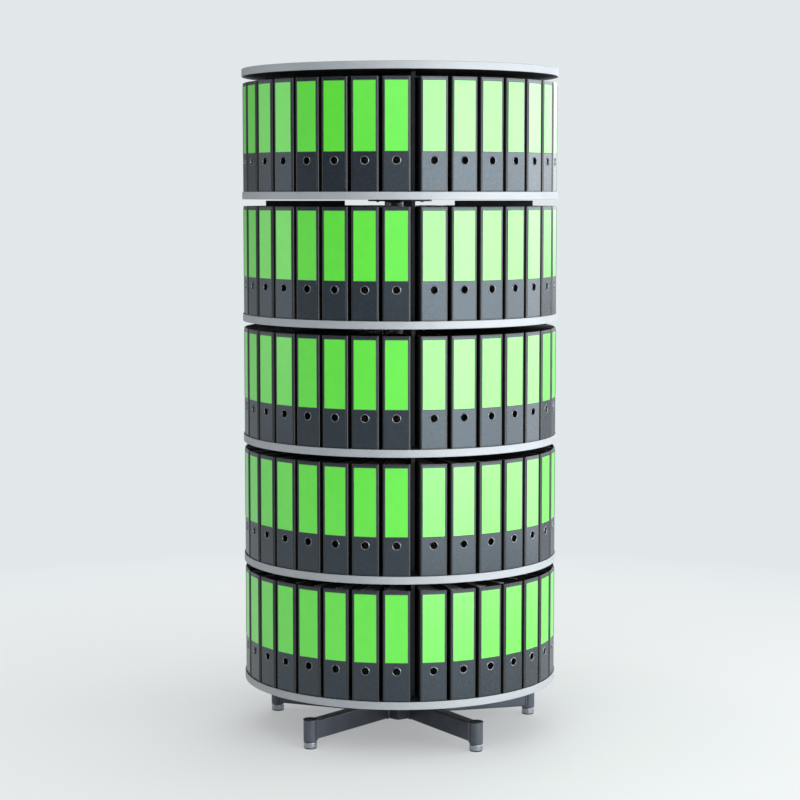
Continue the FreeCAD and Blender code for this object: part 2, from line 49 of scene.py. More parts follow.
# Counts and turns. Between two dividers stands a group of binders, one BINDER_STEP apart, and the
# first and the last of them are BESIDE_DIVIDER away from their divider.
TIERS = range(1, 6)
ARMS = 5
DIVIDERS = 4
BINDERS_PER_GROUP = 8
FRONT = -90.0
STAR_TURN = FRONT + 32.5
TIER_TURN = FRONT + 5.3
BINDER_STEP = 11.0
BESIDE_DIVIDER = 6.5
PULL_TURN = TIER_TURN - BESIDE_DIVIDER

# Boards and rims. BOARD is their thickness, and SHELF has the height of each storey's upper face.
RIM_LOW, RIM_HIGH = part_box("top_edge_band")
RIM_RADIUS = RIM_HIGH.x
BOARD = RIM_HIGH.z - RIM_LOW.z
TOP = RIM_HIGH.z
SHELF = {tier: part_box(f"tier_{tier}_board")[1].z for tier in TIERS}
CORE_RADIUS = 0.468
BOARD_BORE = 0.03855

# The column, the plates on it and their screws, and the dividers between the binders.
PIPE_BORE, PIPE_RADIUS = 0.027, 0.030
FOOT_BOLT_CIRCLE, BOARD_SCREW_CIRCLE = 0.05655, 0.06653
PLATE = 0.006
DIVIDER_INNER, DIVIDER_OUTER = 0.165, 0.400
DIVIDER_HALF, DIVIDER_HEIGHT = 0.006, 0.334
DIVIDER_SCREWS = (0.205, 0.360)

# A binder is a wedge: SPINE and FORE_EDGE are its two ends' distances from the column's axis.
SPINE, HALF_SPINE = 0.465, 0.040
FORE_EDGE, HALF_FORE_EDGE = 0.180, 0.01298
BINDER = 0.318
COVER = 0.0025
HOLE = 0.011
HOLE_HEIGHT = 0.087
PANEL_HALF, PANEL_LOW, PANEL_HIGH = 0.034, 0.004, 0.314
LABEL_HALF, LABEL_LOW, LABEL_HIGH = 0.032, 0.112, 0.307
PANEL_FACE = SPINE + 0.0006
BEDDED = PANEL_FACE - 0.0001  # where the things on the panel start, so that no gap shows
PAGES_LOW, PAGES_HIGH = 0.0105, 0.3075
PULL_GAP = 0.0003  # between the board and the binder that slides on it

# The lever arch. Its levels are measured from the middle of the binder's height.
ARCH_LEVELS = (-0.040, 0.040)
ARCH_CENTRE = 0.407
ARCH_RADIUS = 0.021
ARCH_POST = 0.041
ARCH_WIRE = 0.0016
SLOT_HALF_LENGTH, SLOT_HALF_HEIGHT = 0.0135, 0.0035

# The star base. SUNK is how deep an arm's ends are set into the hub and the sleeve.
ARM_LOW, ARM_HIGH = 0.027, 0.082
ARM_HALF = 0.0175
HUB_REACH = 0.075
FOOT_RADIUS = 0.410
SLEEVE, SLEEVE_WALL = 0.020, 0.003
SLEEVE_LOW, SLEEVE_HIGH = 0.022, 0.084
SUNK = 0.0006
WELD = 0.0022

# Edges sharper than this angle show, and on the eased pieces they are rounded by this much.
SHARP_ANGLE = math.radians(38.0)
EASED_EDGE = 0.0005

BACKDROP = (0.76, 0.81, 0.825)


# ---------------------------------------------------------------- mesh code


def rounded(corners, radius, steps=4, guard=0.5):
    """A closed outline whose corners are arcs. A guard point beside each arc keeps the flats flat
    in shading. A corner's third number is its own radius."""
    outline = []
    for index, corner in enumerate(corners):
        before, here, after = (
            Vector(corners[(index + shift) % len(corners)][:2]) for shift in (-1, 0, 1)
        )
        bend = corner[2] if len(corner) > 2 else radius
        come, go = (here - before).normalized(), (after - here).normalized()
        turn = math.atan2(come.x * go.y - come.y * go.x, come.dot(go))
        if bend == 0 or abs(turn) < 1e-4:
            outline.append(here)
            continue
        reach = bend * math.tan(abs(turn) / 2)
        start, end = here - come * reach, here + go * reach
        side = Vector((-come.y, come.x)) * math.copysign(bend, turn)
        if guard:
            outline.append(start - come * bend * guard)
        for step in range(steps + 1):
            spin = Matrix.Rotation(turn * step / steps, 2)
            outline.append(start + side + spin @ -side)
        if guard:
            outline.append(end + go * bend * guard)
    return outline


def rectangle(half_width, low, high, radius, steps=4, guard=0.5):
    corners = [(-half_width, low), (half_width, low), (half_width, high), (-half_width, high)]
    return rounded(corners, radius, steps, guard)


def add_loops(bm, loops, ring=False, place=Matrix()):
    """Skin a row of closed loops of points. A loop of one point is a pole, and ring joins the row's
    last loop to its first."""
    rows = [[bm.verts.new(place @ Vector(point)) for point in loop] for loop in loops]
    pairs = list(zip(rows, rows[1:]))
    if ring:
        pairs.append((rows[-1], rows[0]))
    for low, high in pairs:
        count = max(len(low), len(high))
        for index in range(count):
            after = (index + 1) % count
            corners = [low[index % len(low)], low[after % len(low)]]
            corners += [high[after % len(high)], high[index % len(high)]]
            corners = list(dict.fromkeys(corners))
            if len(corners) > 2:
                bm.faces.new(corners)
    if not ring:
        for end in (rows[0], rows[-1]):
            if len(end) > 2:
                bm.faces.new(end)


def add_turned(bm, profile, sides=48, place=Matrix(), ring=True):
    """A profile of (radius, height) points turned about the Z axis. A solid one starts and ends on
    the axis, and ring is False for it."""
    loops = []
    for radius, height in profile:
        if radius < 1e-7:
            loops.append([(0.0, 0.0, height)])
            continue
        turns = [math.tau * side / sides for side in range(sides)]
        loops.append([(radius * math.cos(t), radius * math.sin(t), height) for t in turns])
    add_loops(bm, loops, ring, place)


def add_slab(bm, outline, low, high, rim=0.0, steps=2, place=Matrix()):
    """A plate between two heights: a counterclockwise outline, its upper and lower rims rounded.
    The outline's own corners have to be rounder than 1.4 times the rim."""
    count = len(outline)
    mitres = []
    for index, here in enumerate(outline):
        come = (here - outline[index - 1]).normalized()
        go = (outline[(index + 1) % count] - here).normalized()
        outwards = Vector((come.y + go.y, -come.x - go.x))
        mitres.append(outwards / (1 + come.dot(go)))
    levels = [(0.0, low), (0.0, high)]
    if rim:
        guard = rim * 1.4
        quarter = [math.pi / 2 * step / steps for step in range(steps + 1)]
        foot = [(rim * (1 - math.sin(t)), low + rim * (1 - math.cos(t))) for t in quarter]
        levels = [(guard, low), *foot, (0.0, low + guard)]
        levels += [(inset, low + high - height) for inset, height in reversed(levels)]
    loops = [
        [(*(point - mitre * inset), height) for point, mitre in zip(outline, mitres)]
        for inset, height in levels
    ]
    add_loops(bm, loops, place=place)


def add_wire(bm, points, radius, sides=8, swell=None):
    """A round wire along a row of points, its ends closed. swell gives each point's own share of
    the radius."""
    points = [Vector(point) for point in points]
    loops = []
    side = Vector((0.0, 0.0, 1.0))
    for index, here in enumerate(points):
        before, after = points[max(index - 1, 0)], points[min(index + 1, len(points) - 1)]
        along = (after - before).normalized()
        if abs(along.dot(side)) > 0.95:
            side = along.orthogonal()
        side = (side - along * side.dot(along)).normalized()
        other = along.cross(side)
        reach = radius * (swell[index] if swell else 1.0)
        turns = [math.tau * step / sides for step in range(sides)]
        loops.append([here + (side * math.cos(t) + other * math.sin(t)) * reach for t in turns])
    add_loops(bm, loops)


def add_hex_head(bm, across, low, high, place=Matrix()):
    """A hexagon bolt's head with its chamfered crown, on a round washer face."""
    sides, crown = 24, across * 0.47
    turns = [math.tau * side / sides for side in range(sides)]

    def reach(turn):
        return across / 2 / math.cos((turn + math.pi / 6) % (math.pi / 3) - math.pi / 6)

    def loop(radii, heights):
        return [
            (r * math.cos(t), r * math.sin(t), h) for r, t, h in zip(radii, turns, heights)
        ]

    hexagon = [reach(turn) for turn in turns]
    chamfer = [high - (radius - crown) * 0.6 for radius in hexagon]
    flat, round_top = [low + 0.0006] * sides, [crown] * sides
    add_loops(bm, [
        loop(round_top, [low] * sides),
        loop(round_top, flat),
        loop(hexagon, flat),
        loop(hexagon, chamfer),
        loop(round_top, [high] * sides),
        loop([crown * 0.6] * sides, [high - 0.0003] * sides),
    ], place=place)


def in_front(height=0.0):
    """Drawn flat in X and Y and lifted along Z, a piece then stands upright and faces outwards."""
    return Matrix(((0, 0, 1, 0), (1, 0, 0, 0), (0, 1, 0, height), (0, 0, 0, 1)))


def turned_by(degrees):
    return Matrix.Rotation(math.radians(degrees), 4, "Z")


def mark_edges(mesh):
    """Smooth shading that breaks at the edges, with all faces pointing outwards."""
    bm = bmesh.new()
    bm.from_mesh(mesh)
    bmesh.ops.recalc_face_normals(bm, faces=bm.faces)
    for face in bm.faces:
        face.smooth = True
    for edge in bm.edges:
        edge.smooth = edge.calc_face_angle(0.0) < SHARP_ANGLE
    bm.to_mesh(mesh)
    bm.free()


def made(bm, name, finish):
    """The drawn shape as a thing in the scene."""
    mesh = bpy.data.meshes.new(name)
    bm.to_mesh(mesh)
    bm.free()
    mark_edges(mesh)
    mesh.materials.append(finish)
    thing = bpy.data.objects.new(name, mesh)
    bpy.context.scene.collection.objects.link(thing)
    return thing


def settled(thing):
    """The thing with its modifiers turned into plain mesh."""
    depsgraph = bpy.context.evaluated_depsgraph_get()
    mesh = bpy.data.meshes.new_from_object(
        thing.evaluated_get(depsgraph), preserve_all_data_layers=True, depsgraph=depsgraph
    )
    thing.modifiers.clear()
    thing.data = mesh
    return thing


def bored(thing, radius, reach, place):
    """The thing with a round hole through it."""
    bm = bmesh.new()
    add_turned(bm, [(0, -reach), (radius, -reach), (radius, reach), (0, reach)], 28, place, False)
    return pierced(thing, made(bm, "drill", None))


def pierced(thing, drill):
    """The thing with the drill's shape cut out of it."""
    cut = thing.modifiers.new("hole", "BOOLEAN")
    cut.operation, cut.solver, cut.object = "DIFFERENCE", "EXACT", drill
    settled(thing)
    bpy.data.objects.remove(drill)
    mark_edges(thing.data)
    return thing


def taken(thing):
    """The mesh of a thing that is only a pattern for others."""
    mesh = thing.data
    bpy.data.objects.remove(thing)
    return mesh


# ---------------------------------------------------------------- what repeats


def put_node(tree, kind, inputs, **settings):
    """The outputs of a new node in a tree. An input is a value, or an output to link."""
    node = tree.nodes.new(kind)
    for name, value in settings.items():
        setattr(node, name, value)
    for socket, value in inputs.items():
        if isinstance(value, bpy.types.NodeSocket):
            tree.links.new(value, node.inputs[socket])
        else:
            node.inputs[socket].default_value = value
    return node.outputs


class Tree:
    """A Geometry Nodes tree written as calls."""

    def __init__(self, name, **inputs):
        self.tree = bpy.data.node_groups.new(name, "GeometryNodeTree")
        self.tree.is_modifier = True
        face = self.tree.interface
        face.new_socket(name="Geometry", in_out="INPUT", socket_type="NodeSocketGeometry")
        for label, kind in inputs.items():
            face.new_socket(name=label, in_out="INPUT", socket_type=f"NodeSocket{kind}")
        face.new_socket(name="Geometry", in_out="OUTPUT", socket_type="NodeSocketGeometry")
        self.given = self.tree.nodes.new("NodeGroupInput").outputs

    def put(self, kind, inputs, **settings):
        return put_node(self.tree, kind, inputs, **settings)

    def calc(self, operation, first, second=0.0):
        return self.put("ShaderNodeMath", {0: first, 1: second}, operation=operation)[0]

    def finish(self, geometry):
        real = self.put("GeometryNodeRealizeInstances", {"Geometry": geometry})[0]
        inputs = {"Geometry": real, "Material": self.given["Material"]}
        self.put("NodeGroupOutput", {0: self.put("GeometryNodeSetMaterial", inputs)[0]})
        return self.tree


def carousel_tree():
    """Sets the incoming piece round the column in groups, and leaves the last places empty. Each
    copy gets a number of its own, which tones its finish."""
    tree = Tree(
        "Round the column", Groups="Int", Each="Int", Omitted="Int", Lift="Float",
        GroupTurn="Float", Step="Float", FirstTurn="Float", Seed="Int", Material="Material",
    )
    given, index = tree.given, tree.put("GeometryNodeInputIndex", {})[0]
    places = tree.calc("MULTIPLY", given["Groups"], given["Each"])
    group = tree.calc("FLOOR", tree.calc("DIVIDE", index, given["Each"]))
    place = tree.calc("SUBTRACT", index, tree.calc("MULTIPLY", group, given["Each"]))
    turn = tree.calc("ADD", given["FirstTurn"], tree.calc("MULTIPLY", group, given["GroupTurn"]))
    turn = tree.calc("ADD", turn, tree.calc("MULTIPLY", place, given["Step"]))
    points = tree.put("GeometryNodePoints", {
        "Count": tree.calc("SUBTRACT", places, given["Omitted"]),
        "Position": tree.put("ShaderNodeCombineXYZ", {"Z": given["Lift"]})[0],
    })[0]
    copies = tree.put("GeometryNodeInstanceOnPoints", {
        "Points": points,
        "Instance": given["Geometry"],
        "Rotation": tree.put("ShaderNodeCombineXYZ", {"Z": turn})[0],
    })[0]
    chance = tree.put("FunctionNodeRandomValue", {"Seed": given["Seed"]}, data_type="FLOAT")
    toned = tree.put("GeometryNodeStoreNamedAttribute", {
        "Geometry": copies, "Name": "tone", "Value": chance["Value"],
    }, data_type="FLOAT", domain="INSTANCE")[0]
    return tree.finish(toned)


def thread_tree():
    """Winds a screw thread round the incoming rod."""
    tree = Tree(
        "Screw thread", Radius="Float", Depth="Float", Turns="Float", Length="Float",
        Low="Float", Material="Material",
    )
    given = tree.given
    helix = tree.put("GeometryNodeCurveSpiral", {
        "Resolution": 16, "Rotations": given["Turns"], "Start Radius": given["Radius"],
        "End Radius": given["Radius"], "Height": given["Length"],
    })[0]
    crest = tree.put("GeometryNodeCurvePrimitiveCircle", {
        "Resolution": 4, "Radius": given["Depth"],
    })[0]
    ridge = tree.put("GeometryNodeCurveToMesh", {
        "Curve": helix, "Profile Curve": crest, "Fill Caps": True,
    })[0]
    raised = tree.put("GeometryNodeTransform", {
        "Geometry": ridge,
        "Translation": tree.put("ShaderNodeCombineXYZ", {"Z": given["Low"]})[0],
    })[0]
    join = tree.put("GeometryNodeJoinGeometry", {"Geometry": given["Geometry"]})[0]
    tree.tree.links.new(raised, join.node.inputs[0])
    return tree.finish(join)


def run_tree(thing, tree, finish, **numbers):
    """The thing after a tree with these inputs, as plain mesh."""
    modifier = thing.modifiers.new(tree.name, "NODES")
    modifier.node_group = tree
    for name, value in {**numbers, "Material": finish}.items():
        modifier[tree.interface.items_tree[name].identifier] = value
    return settled(thing)


CAROUSEL = carousel_tree()
THREAD = thread_tree()


def repeated(bm, name, finish, groups, turn, each=1, step=0.0, omitted=0, lift=0.0, seed=1):
    """The drawn piece set round the column: in groups of each, with the last ones omitted."""
    return run_tree(
        made(bm, name, finish), CAROUSEL, finish, Groups=groups, Each=each, Omitted=omitted,
        Lift=lift, GroupTurn=math.tau / groups, Step=math.radians(step),
        FirstTurn=math.radians(turn), Seed=seed,
    )


def fitted(thing, body, slot=None, *nodes):
    """The thing on its body, in place of CAD nodes. slot, one of the record's material slots, is
    not used.
    """
    if nodes:
        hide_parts(*nodes)
    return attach(thing, body)


# ---------------------------------------------------------------- finishes


class Finish:
    """The shader of one finish, written as calls."""

    def __init__(self, name):
        self.material = bpy.data.materials.new(name)
        self.material.use_nodes = True
        self.tree = self.material.node_tree
        self.tree.nodes.clear()
        self.place = self.put("TexCoord", {})["Object"]

    def put(self, kind, inputs, **settings):
        return put_node(self.tree, f"ShaderNode{kind}", inputs, **settings)

    def tone(self):
        """A number from 0 to 1 that each copy of a repeated piece has of its own."""
        return self.put("Attribute", {}, attribute_name="tone")["Fac"]

    def noise(self, grain, stretch=(1, 1, 1), detail=3.0, at=None):
        """Noise from 0 to 1 whose grains are about that many metres across."""
        scale = [share / grain for share in stretch]
        where = self.put("Mapping", {"Vector": at or self.place, "Scale": scale})[0]
        return self.put("TexNoise", {"Vector": where, "Scale": 1.0, "Detail": detail})[0]

    def band(self, value, low, high, to_low=0.0, to_high=1.0):
        """The value's share of the way from low to high, kept within it, on a new range."""
        inputs = {0: value, 1: low, 2: high, 3: to_low, 4: to_high}
        return self.put("MapRange", inputs)[0]

    def calc(self, operation, first, second):
        return self.put("Math", {0: first, 1: second}, operation=operation)[0]

    def mix(self, share, first, second):
        inputs = {0: share}
        for socket, colour in ((6, first), (7, second)):
            inputs[socket] = colour if isinstance(colour, bpy.types.NodeSocket) else (*colour, 1)
        return self.put("Mix", inputs, data_type="RGBA")[2]

    def bump(self, height, depth):
        return self.put("Bump", {"Height": height, "Distance": depth, "Strength": 1.0})[0]

    def rubbed(self, radius, low=0.35, high=0.6):
        """Near 1 in patches along the edges, where the finish is rubbed, and 0 on the flats."""
        soft = self.put("Bevel", {"Radius": radius}, samples=4)[0]
        true = self.put("NewGeometry", {})["Normal"]
        along = self.put("VectorMath", {0: soft, 1: true}, operation="DOT_PRODUCT")["Value"]
        edge = self.band(along, 0.995, 0.90)
        return self.calc("MULTIPLY", edge, self.band(self.noise(0.006), low, high))

    def shader(self, **inputs):
        """The finished material. Inputs are the shader's sockets, with _ for a space."""
        surface = self.put("BsdfPrincipled", {
            name.replace("_", " "): (*value, 1.0) if isinstance(value, tuple) else value
            for name, value in inputs.items()
        })[0]
        self.put("OutputMaterial", {0: surface})
        return self.material


def powder_coat():
    """Slate grey metallic powder coat: fine orange peel, small bright flakes, rubbed edges."""
    f = Finish("slate powder coat")
    peel = f.noise(0.0016, detail=2)
    flakes = f.band(f.noise(0.0005, detail=1), 0.66, 0.72)
    clouds = f.band(f.noise(0.05), 0.3, 0.7)
    colour = f.mix(clouds, (0.082, 0.095, 0.116), (0.110, 0.125, 0.150))
    colour = f.mix(f.calc("MULTIPLY", flakes, 0.5), colour, (0.30, 0.33, 0.37))
    colour = f.mix(f.rubbed(0.002), colour, (0.36, 0.37, 0.38))
    rough = f.band(f.noise(0.012), 0.3, 0.7, 0.34, 0.46)
    return f.shader(Base_Color=colour, Roughness=rough, Metallic=0.45, Normal=f.bump(peel, 5e-5))


def silver_rim():
    """Silver edge band: fine lines along the rim, smears, a few knocks and a seam at the back."""
    f = Finish("silver rim")
    lines = f.noise(0.0006, (0.02, 0.02, 1), detail=3)
    smears = f.band(f.noise(0.06, (1, 1, 3)), 0.3, 0.7)
    knocks = f.band(f.noise(0.005, detail=0), 0.80, 0.84)
    at = f.put("SeparateXYZ", {0: f.place})
    seam = f.band(f.calc("ABSOLUTE", at["X"], 0), 0.0002, 0.0005, 1, 0)
    seam = f.calc("MULTIPLY", seam, f.calc("GREATER_THAN", at["Y"], 0.1))
    colour = f.mix(smears, (0.47, 0.49, 0.51), (0.51, 0.53, 0.55))
    colour = f.mix(f.calc("MULTIPLY", knocks, 0.4), colour, (0.36, 0.37, 0.38))
    colour = f.mix(f.calc("MULTIPLY", seam, 0.85), colour, (0.05, 0.05, 0.055))
    rough = f.calc("ADD", f.band(smears, 0, 1, 0.60, 0.64), f.band(lines, 0.3, 0.7, -0.03, 0.04))
    height = f.calc("SUBTRACT", f.calc("MULTIPLY", lines, 0.5), knocks)
    return f.shader(Base_Color=colour, Roughness=rough, Metallic=0.5, Normal=f.bump(height, 8e-6))


def melamine():
    """Black melamine board with a pearl surface, faint dust and hairline scratches."""
    f = Finish("black melamine")
    pearl = f.noise(0.0009, detail=2)
    dust = f.band(f.noise(0.06), 0.35, 0.75)
    hairs = f.band(f.noise(0.003, (1, 0.04, 1), detail=1), 0.73, 0.76)
    colour = f.mix(dust, (0.016, 0.018, 0.021), (0.030, 0.033, 0.037))
    colour = f.mix(f.calc("MULTIPLY", hairs, 0.35), colour, (0.12, 0.12, 0.125))
    rough = f.calc("ADD", f.band(dust, 0, 1, 0.47, 0.51), f.band(pearl, 0.3, 0.7, -0.04, 0.04))
    return f.shader(
        Base_Color=colour, Roughness=rough, Specular_IOR_Level=0.4, Normal=f.bump(pearl, 6e-5)
    )


def metal(name, colour, smooth, rough, lines=(1, 1, 1)):
    """A bare or plated metal with drawn lines or a fine grain, and dull spots. smooth and rough are
    the roughness beside the spots and on them, and lines stretches the grain."""
    f = Finish(name)
    grain = f.noise(0.0005, lines, detail=3)
    dull = f.band(f.noise(0.008), 0.45, 0.7)
    base = f.mix(dull, colour, tuple(part * 0.75 for part in colour))
    shine = f.calc("ADD", f.band(dull, 0, 1, smooth, rough), f.band(grain, 0.3, 0.7, -0.04, 0.04))
    return f.shader(Base_Color=base, Roughness=shine, Metallic=1.0, Normal=f.bump(grain, 1.2e-5))


def plastic(name, colour, lighter, rough=0.45, grain=0.0006, depth=3e-5):
    """Moulded plastic with a spark-eroded grain and edges polished by use."""
    f = Finish(name)
    pits = f.noise(grain, detail=2)
    clouds = f.band(f.noise(0.02), 0.35, 0.7)
    base = f.mix(clouds, colour, lighter)
    base = f.mix(f.calc("MULTIPLY", f.rubbed(0.0015), 0.5), base, tuple(c * 3 for c in lighter))
    shine = f.band(clouds, 0, 1, rough - 0.06, rough + 0.08)
    return f.shader(Base_Color=base, Roughness=shine, Normal=f.bump(pits, depth))


def binder_cloth(name, low, high):
    """Black film-covered board with a fine linen grain, pale where corners and edges are rubbed."""
    f = Finish(name)
    upright, level = f.noise(0.0007, (1, 1, 0.25), 1), f.noise(0.0007, (0.25, 0.25, 1), 1)
    weave = f.calc("MULTIPLY", upright, level)
    clouds = f.band(f.noise(0.03), 0.3, 0.7)
    colour = f.mix(f.calc("MULTIPLY", clouds, f.band(f.tone(), 0, 1, 0.5, 1.0)), low, high)
    worn = f.rubbed(0.0016, 0.45, 0.7)
    colour = f.mix(f.calc("MULTIPLY", worn, 0.55), colour, (0.11, 0.11, 0.115))
    rough = f.calc("ADD", f.band(clouds, 0, 1, 0.30, 0.42), f.calc("MULTIPLY", worn, 0.2))
    return f.shader(
        Base_Color=colour, Roughness=rough, Coat_Weight=0.4, Coat_Roughness=0.26,
        Normal=f.bump(weave, 1.1e-4),
    )


def spine_board():
    """Slate grey spine panel under clear film: a fine grain with small handling marks."""
    f = Finish("slate spine panel")
    grain = f.noise(0.0011, detail=3)
    clouds = f.band(f.noise(0.025), 0.3, 0.7, 0.0, 0.6)
    share = f.calc("ADD", clouds, f.band(f.tone(), 0, 1, 0.0, 0.4))
    colour = f.mix(share, (0.004, 0.007, 0.014), (0.009, 0.015, 0.025))
    marks = f.band(f.noise(0.0035, (1, 1, 0.3), 1), 0.72, 0.76)
    colour = f.mix(f.calc("MULTIPLY", marks, 0.3), colour, (0.10, 0.11, 0.12))
    rough = f.band(f.noise(0.010), 0.3, 0.7, 0.25, 0.31)
    return f.shader(
        Base_Color=colour, Roughness=rough, IOR=2.1, Specular_IOR_Level=0.32,
        Specular_Tint=(0.80, 0.92, 1.0), Normal=f.bump(grain, 1.5e-5),
    )


def label_card():
    """Lime green card behind clear film, with paper fibres and a slightly uneven print."""
    f = Finish("lime label card")
    fibres = f.noise(0.0012, (1, 1, 0.35), detail=4)
    clouds = f.band(f.noise(0.03), 0.3, 0.7, 0, 0.5)
    share = f.calc("ADD", clouds, f.band(f.tone(), 0, 1, 0, 0.5))
    colour = f.mix(share, (0.085, 0.880, 0.001), (0.108, 0.940, 0.003))
    colour = f.mix(f.band(fibres, 0.55, 0.8, 0, 0.25), colour, (0.14, 0.92, 0.02))
    rough = f.band(fibres, 0.3, 0.7, 0.42, 0.52)
    ripple = f.bump(f.noise(0.05, (1, 1, 0.5), 1), 2.5e-4)
    return f.shader(
        Base_Color=colour, Roughness=rough, Specular_IOR_Level=0.2, Coat_Weight=1.0,
        Coat_Roughness=0.32, Coat_IOR=2.2, Normal=f.bump(fibres, 2e-5), Coat_Normal=ripple,
    )


def paper_edges():
    """The edges of stacked sheets: fine lines between the sheets, a few of them darker."""
    f = Finish("stacked paper")
    across = f.put("UVMap", {}, uv_map="sheets")[0]
    sheets = f.noise(1.0, (2600, 3, 1), detail=2, at=across)
    bundles = f.band(f.noise(1.0, (240, 1, 1), detail=1, at=across), 0.62, 0.70)
    colour = f.mix(f.band(sheets, 0.35, 0.65), (0.60, 0.59, 0.55), (0.84, 0.83, 0.80))
    colour = f.mix(f.calc("MULTIPLY", bundles, 0.6), colour, (0.50, 0.45, 0.36))
    height = f.calc("ADD", sheets, f.calc("MULTIPLY", bundles, -0.6))
    return f.shader(
        Base_Color=colour, Roughness=f.band(sheets, 0.3, 0.7, 0.75, 0.9),
        Normal=f.bump(height, 2.5e-4),
    )


COAT = powder_coat()
RIM = silver_rim()
MELAMINE = melamine()
CLOTH = binder_cloth("black binder film", (0.008, 0.009, 0.010), (0.016, 0.017, 0.019))
SPINE_BOARD = spine_board()
LABEL = label_card()
PAPER = paper_edges()
ZINC = metal("zinc plate", (0.60, 0.61, 0.64), 0.28, 0.45)
NICKEL = metal("nickel plate", (0.66, 0.65, 0.62), 0.16, 0.32)
PIPE = metal("drawn steel tube", (0.50, 0.51, 0.53), 0.24, 0.38, lines=(1, 1, 0.03))
FOOT = metal("turned foot metal", (0.44, 0.47, 0.51), 0.30, 0.42, lines=(0.05, 0.05, 1))
CAP = plastic("black cap plastic", (0.012, 0.013, 0.014), (0.022, 0.023, 0.025))
GLIDE = plastic("grey glide plastic", (0.16, 0.17, 0.18), (0.22, 0.23, 0.24), rough=0.38)
RUBBER = plastic(
    "black rubber", (0.010, 0.010, 0.011), (0.018, 0.018, 0.019), rough=0.75, grain=0.0012,
    depth=8e-5,
)
POCKET = plastic(
    "clear pocket edge", (0.045, 0.060, 0.058), (0.06, 0.08, 0.075), rough=0.22, grain=0.002,
    depth=1e-5,
)
RING = metal("gunmetal ring", (0.24, 0.25, 0.27), 0.22, 0.36)


# ---------------------------------------------------------------- star base


def build_base():
    """The star: hub, arms and welds, and at each arm's end the sleeve, its cap, bush and foot."""
    bm = bmesh.new()
    corner = HUB_REACH / math.cos(math.pi / ARMS)
    turns = [math.pi / ARMS * (2 * side + 1) for side in range(ARMS)]
    pentagon = [(corner * math.cos(t), corner * math.sin(t)) for t in turns]
    outline = rounded(pentagon, 0.003)
    add_slab(bm, outline, ARM_LOW, ARM_HIGH, 0.0012, place=turned_by(STAR_TURN))
    hub = bored(made(bm, "star_hub", COAT), PIPE_BORE, 0.1, Matrix.Translation((0, 0, 0.05)))
    fitted(hub, "base", "powder_coat", "base_hub")

    bm = bmesh.new()
    section = rectangle(ARM_HALF, ARM_LOW, ARM_HIGH, 0.003)
    coped = [FOOT_RADIUS - math.sqrt(SLEEVE**2 - across**2) + SUNK for across, _ in section]
    ends = [[HUB_REACH - SUNK] * len(section), coped]
    add_loops(bm, [[(x, y, z) for x, (y, z) in zip(end, section)] for end in ends])
    arms = repeated(bm, "star_arms", COAT, ARMS, STAR_TURN)
    fitted(arms, "base", "powder_coat", "base_arms")

    bm = bmesh.new()
    for face in (hub_face, sleeve_face):
        path = weld_path(face)
        swell = [1.0 + 0.16 * math.sin(step * 1.7) for step in range(len(path))]
        add_wire(bm, path, WELD, 6, swell)
    welds = repeated(bm, "star_weld_beads", COAT, ARMS, STAR_TURN)
    fitted(welds, "base", "powder_coat")

    bm = bmesh.new()
    at_foot = Matrix.Translation((FOOT_RADIUS, 0, 0))
    bore = SLEEVE - SLEEVE_WALL
    tube = [(bore, SLEEVE_LOW), (SLEEVE, SLEEVE_LOW), (SLEEVE, SLEEVE_HIGH), (bore, SLEEVE_HIGH)]
    add_turned(bm, rounded(tube, 0.0006, 2), 56, at_foot)
    sleeves = repeated(bm, "foot_sleeves", COAT, ARMS, STAR_TURN)
    fitted(sleeves, "base", "powder_coat", "foot_sockets")

    bm = bmesh.new()
    brim, plug = SLEEVE + 0.001, bore - 0.0001
    low, high = SLEEVE_HIGH, SLEEVE_HIGH + 0.003
    end, dish = low - 0.010, high - 0.0004
    lid = rounded([(0.006, low), (brim, low), (brim, high, 0.0016), (0.006, high)], 0.0003, 4)
    profile = [(0, end), (plug - 0.001, end), (plug, end + 0.001), (plug, low)]
    profile += [tuple(point) for point in lid if point.x > plug]
    profile += [(0.016, high), (0.0155, dish), (0.009, dish), (0, dish)]
    add_turned(bm, profile, 56, at_foot, False)
    caps = repeated(bm, "sleeve_caps", CAP, ARMS, STAR_TURN)
    fitted(caps, "base", "cap_plastic", "socket_caps")

    bm = bmesh.new()
    thread, low, high = 0.00505, SLEEVE_LOW, SLEEVE_LOW + 0.012
    bush = [(thread, low), (plug, low), (plug, high), (thread, high)]
    add_turned(bm, rounded(bush, 0.0006, 2), 40, at_foot)
    bushes = repeated(bm, "foot_bushes", ZINC, ARMS, STAR_TURN)
    fitted(bushes, "base", "steel", "foot_nuts")

    for number in range(1, ARMS + 1):
        build_foot(number)


def hub_face(across):
    """How far out an arm's weld on the hub lies."""
    return HUB_REACH + 0.001


def sleeve_face(across):
    """How far out an arm's weld on the round sleeve lies, at that distance from its middle."""
    across = min(abs(across), ARM_HALF)
    return FOOT_RADIUS - 0.0005 - math.sqrt((SLEEVE + 0.0005)**2 - across**2)


def weld_path(face):
    """Points round an arm's section, on the face that it meets."""
    off = 0.0006
    corners = rectangle(ARM_HALF + off, ARM_LOW - off, ARM_HIGH + off, 0.0034)
    points = []
    for index, start in enumerate(corners):
        end = corners[(index + 1) % len(corners)]
        parts = max(1, round((end - start).length / 0.0016))
        points += [start.lerp(end, part / parts) for part in range(parts)]
    return [(face(y), y, z) for y, z in points + points[:1]]


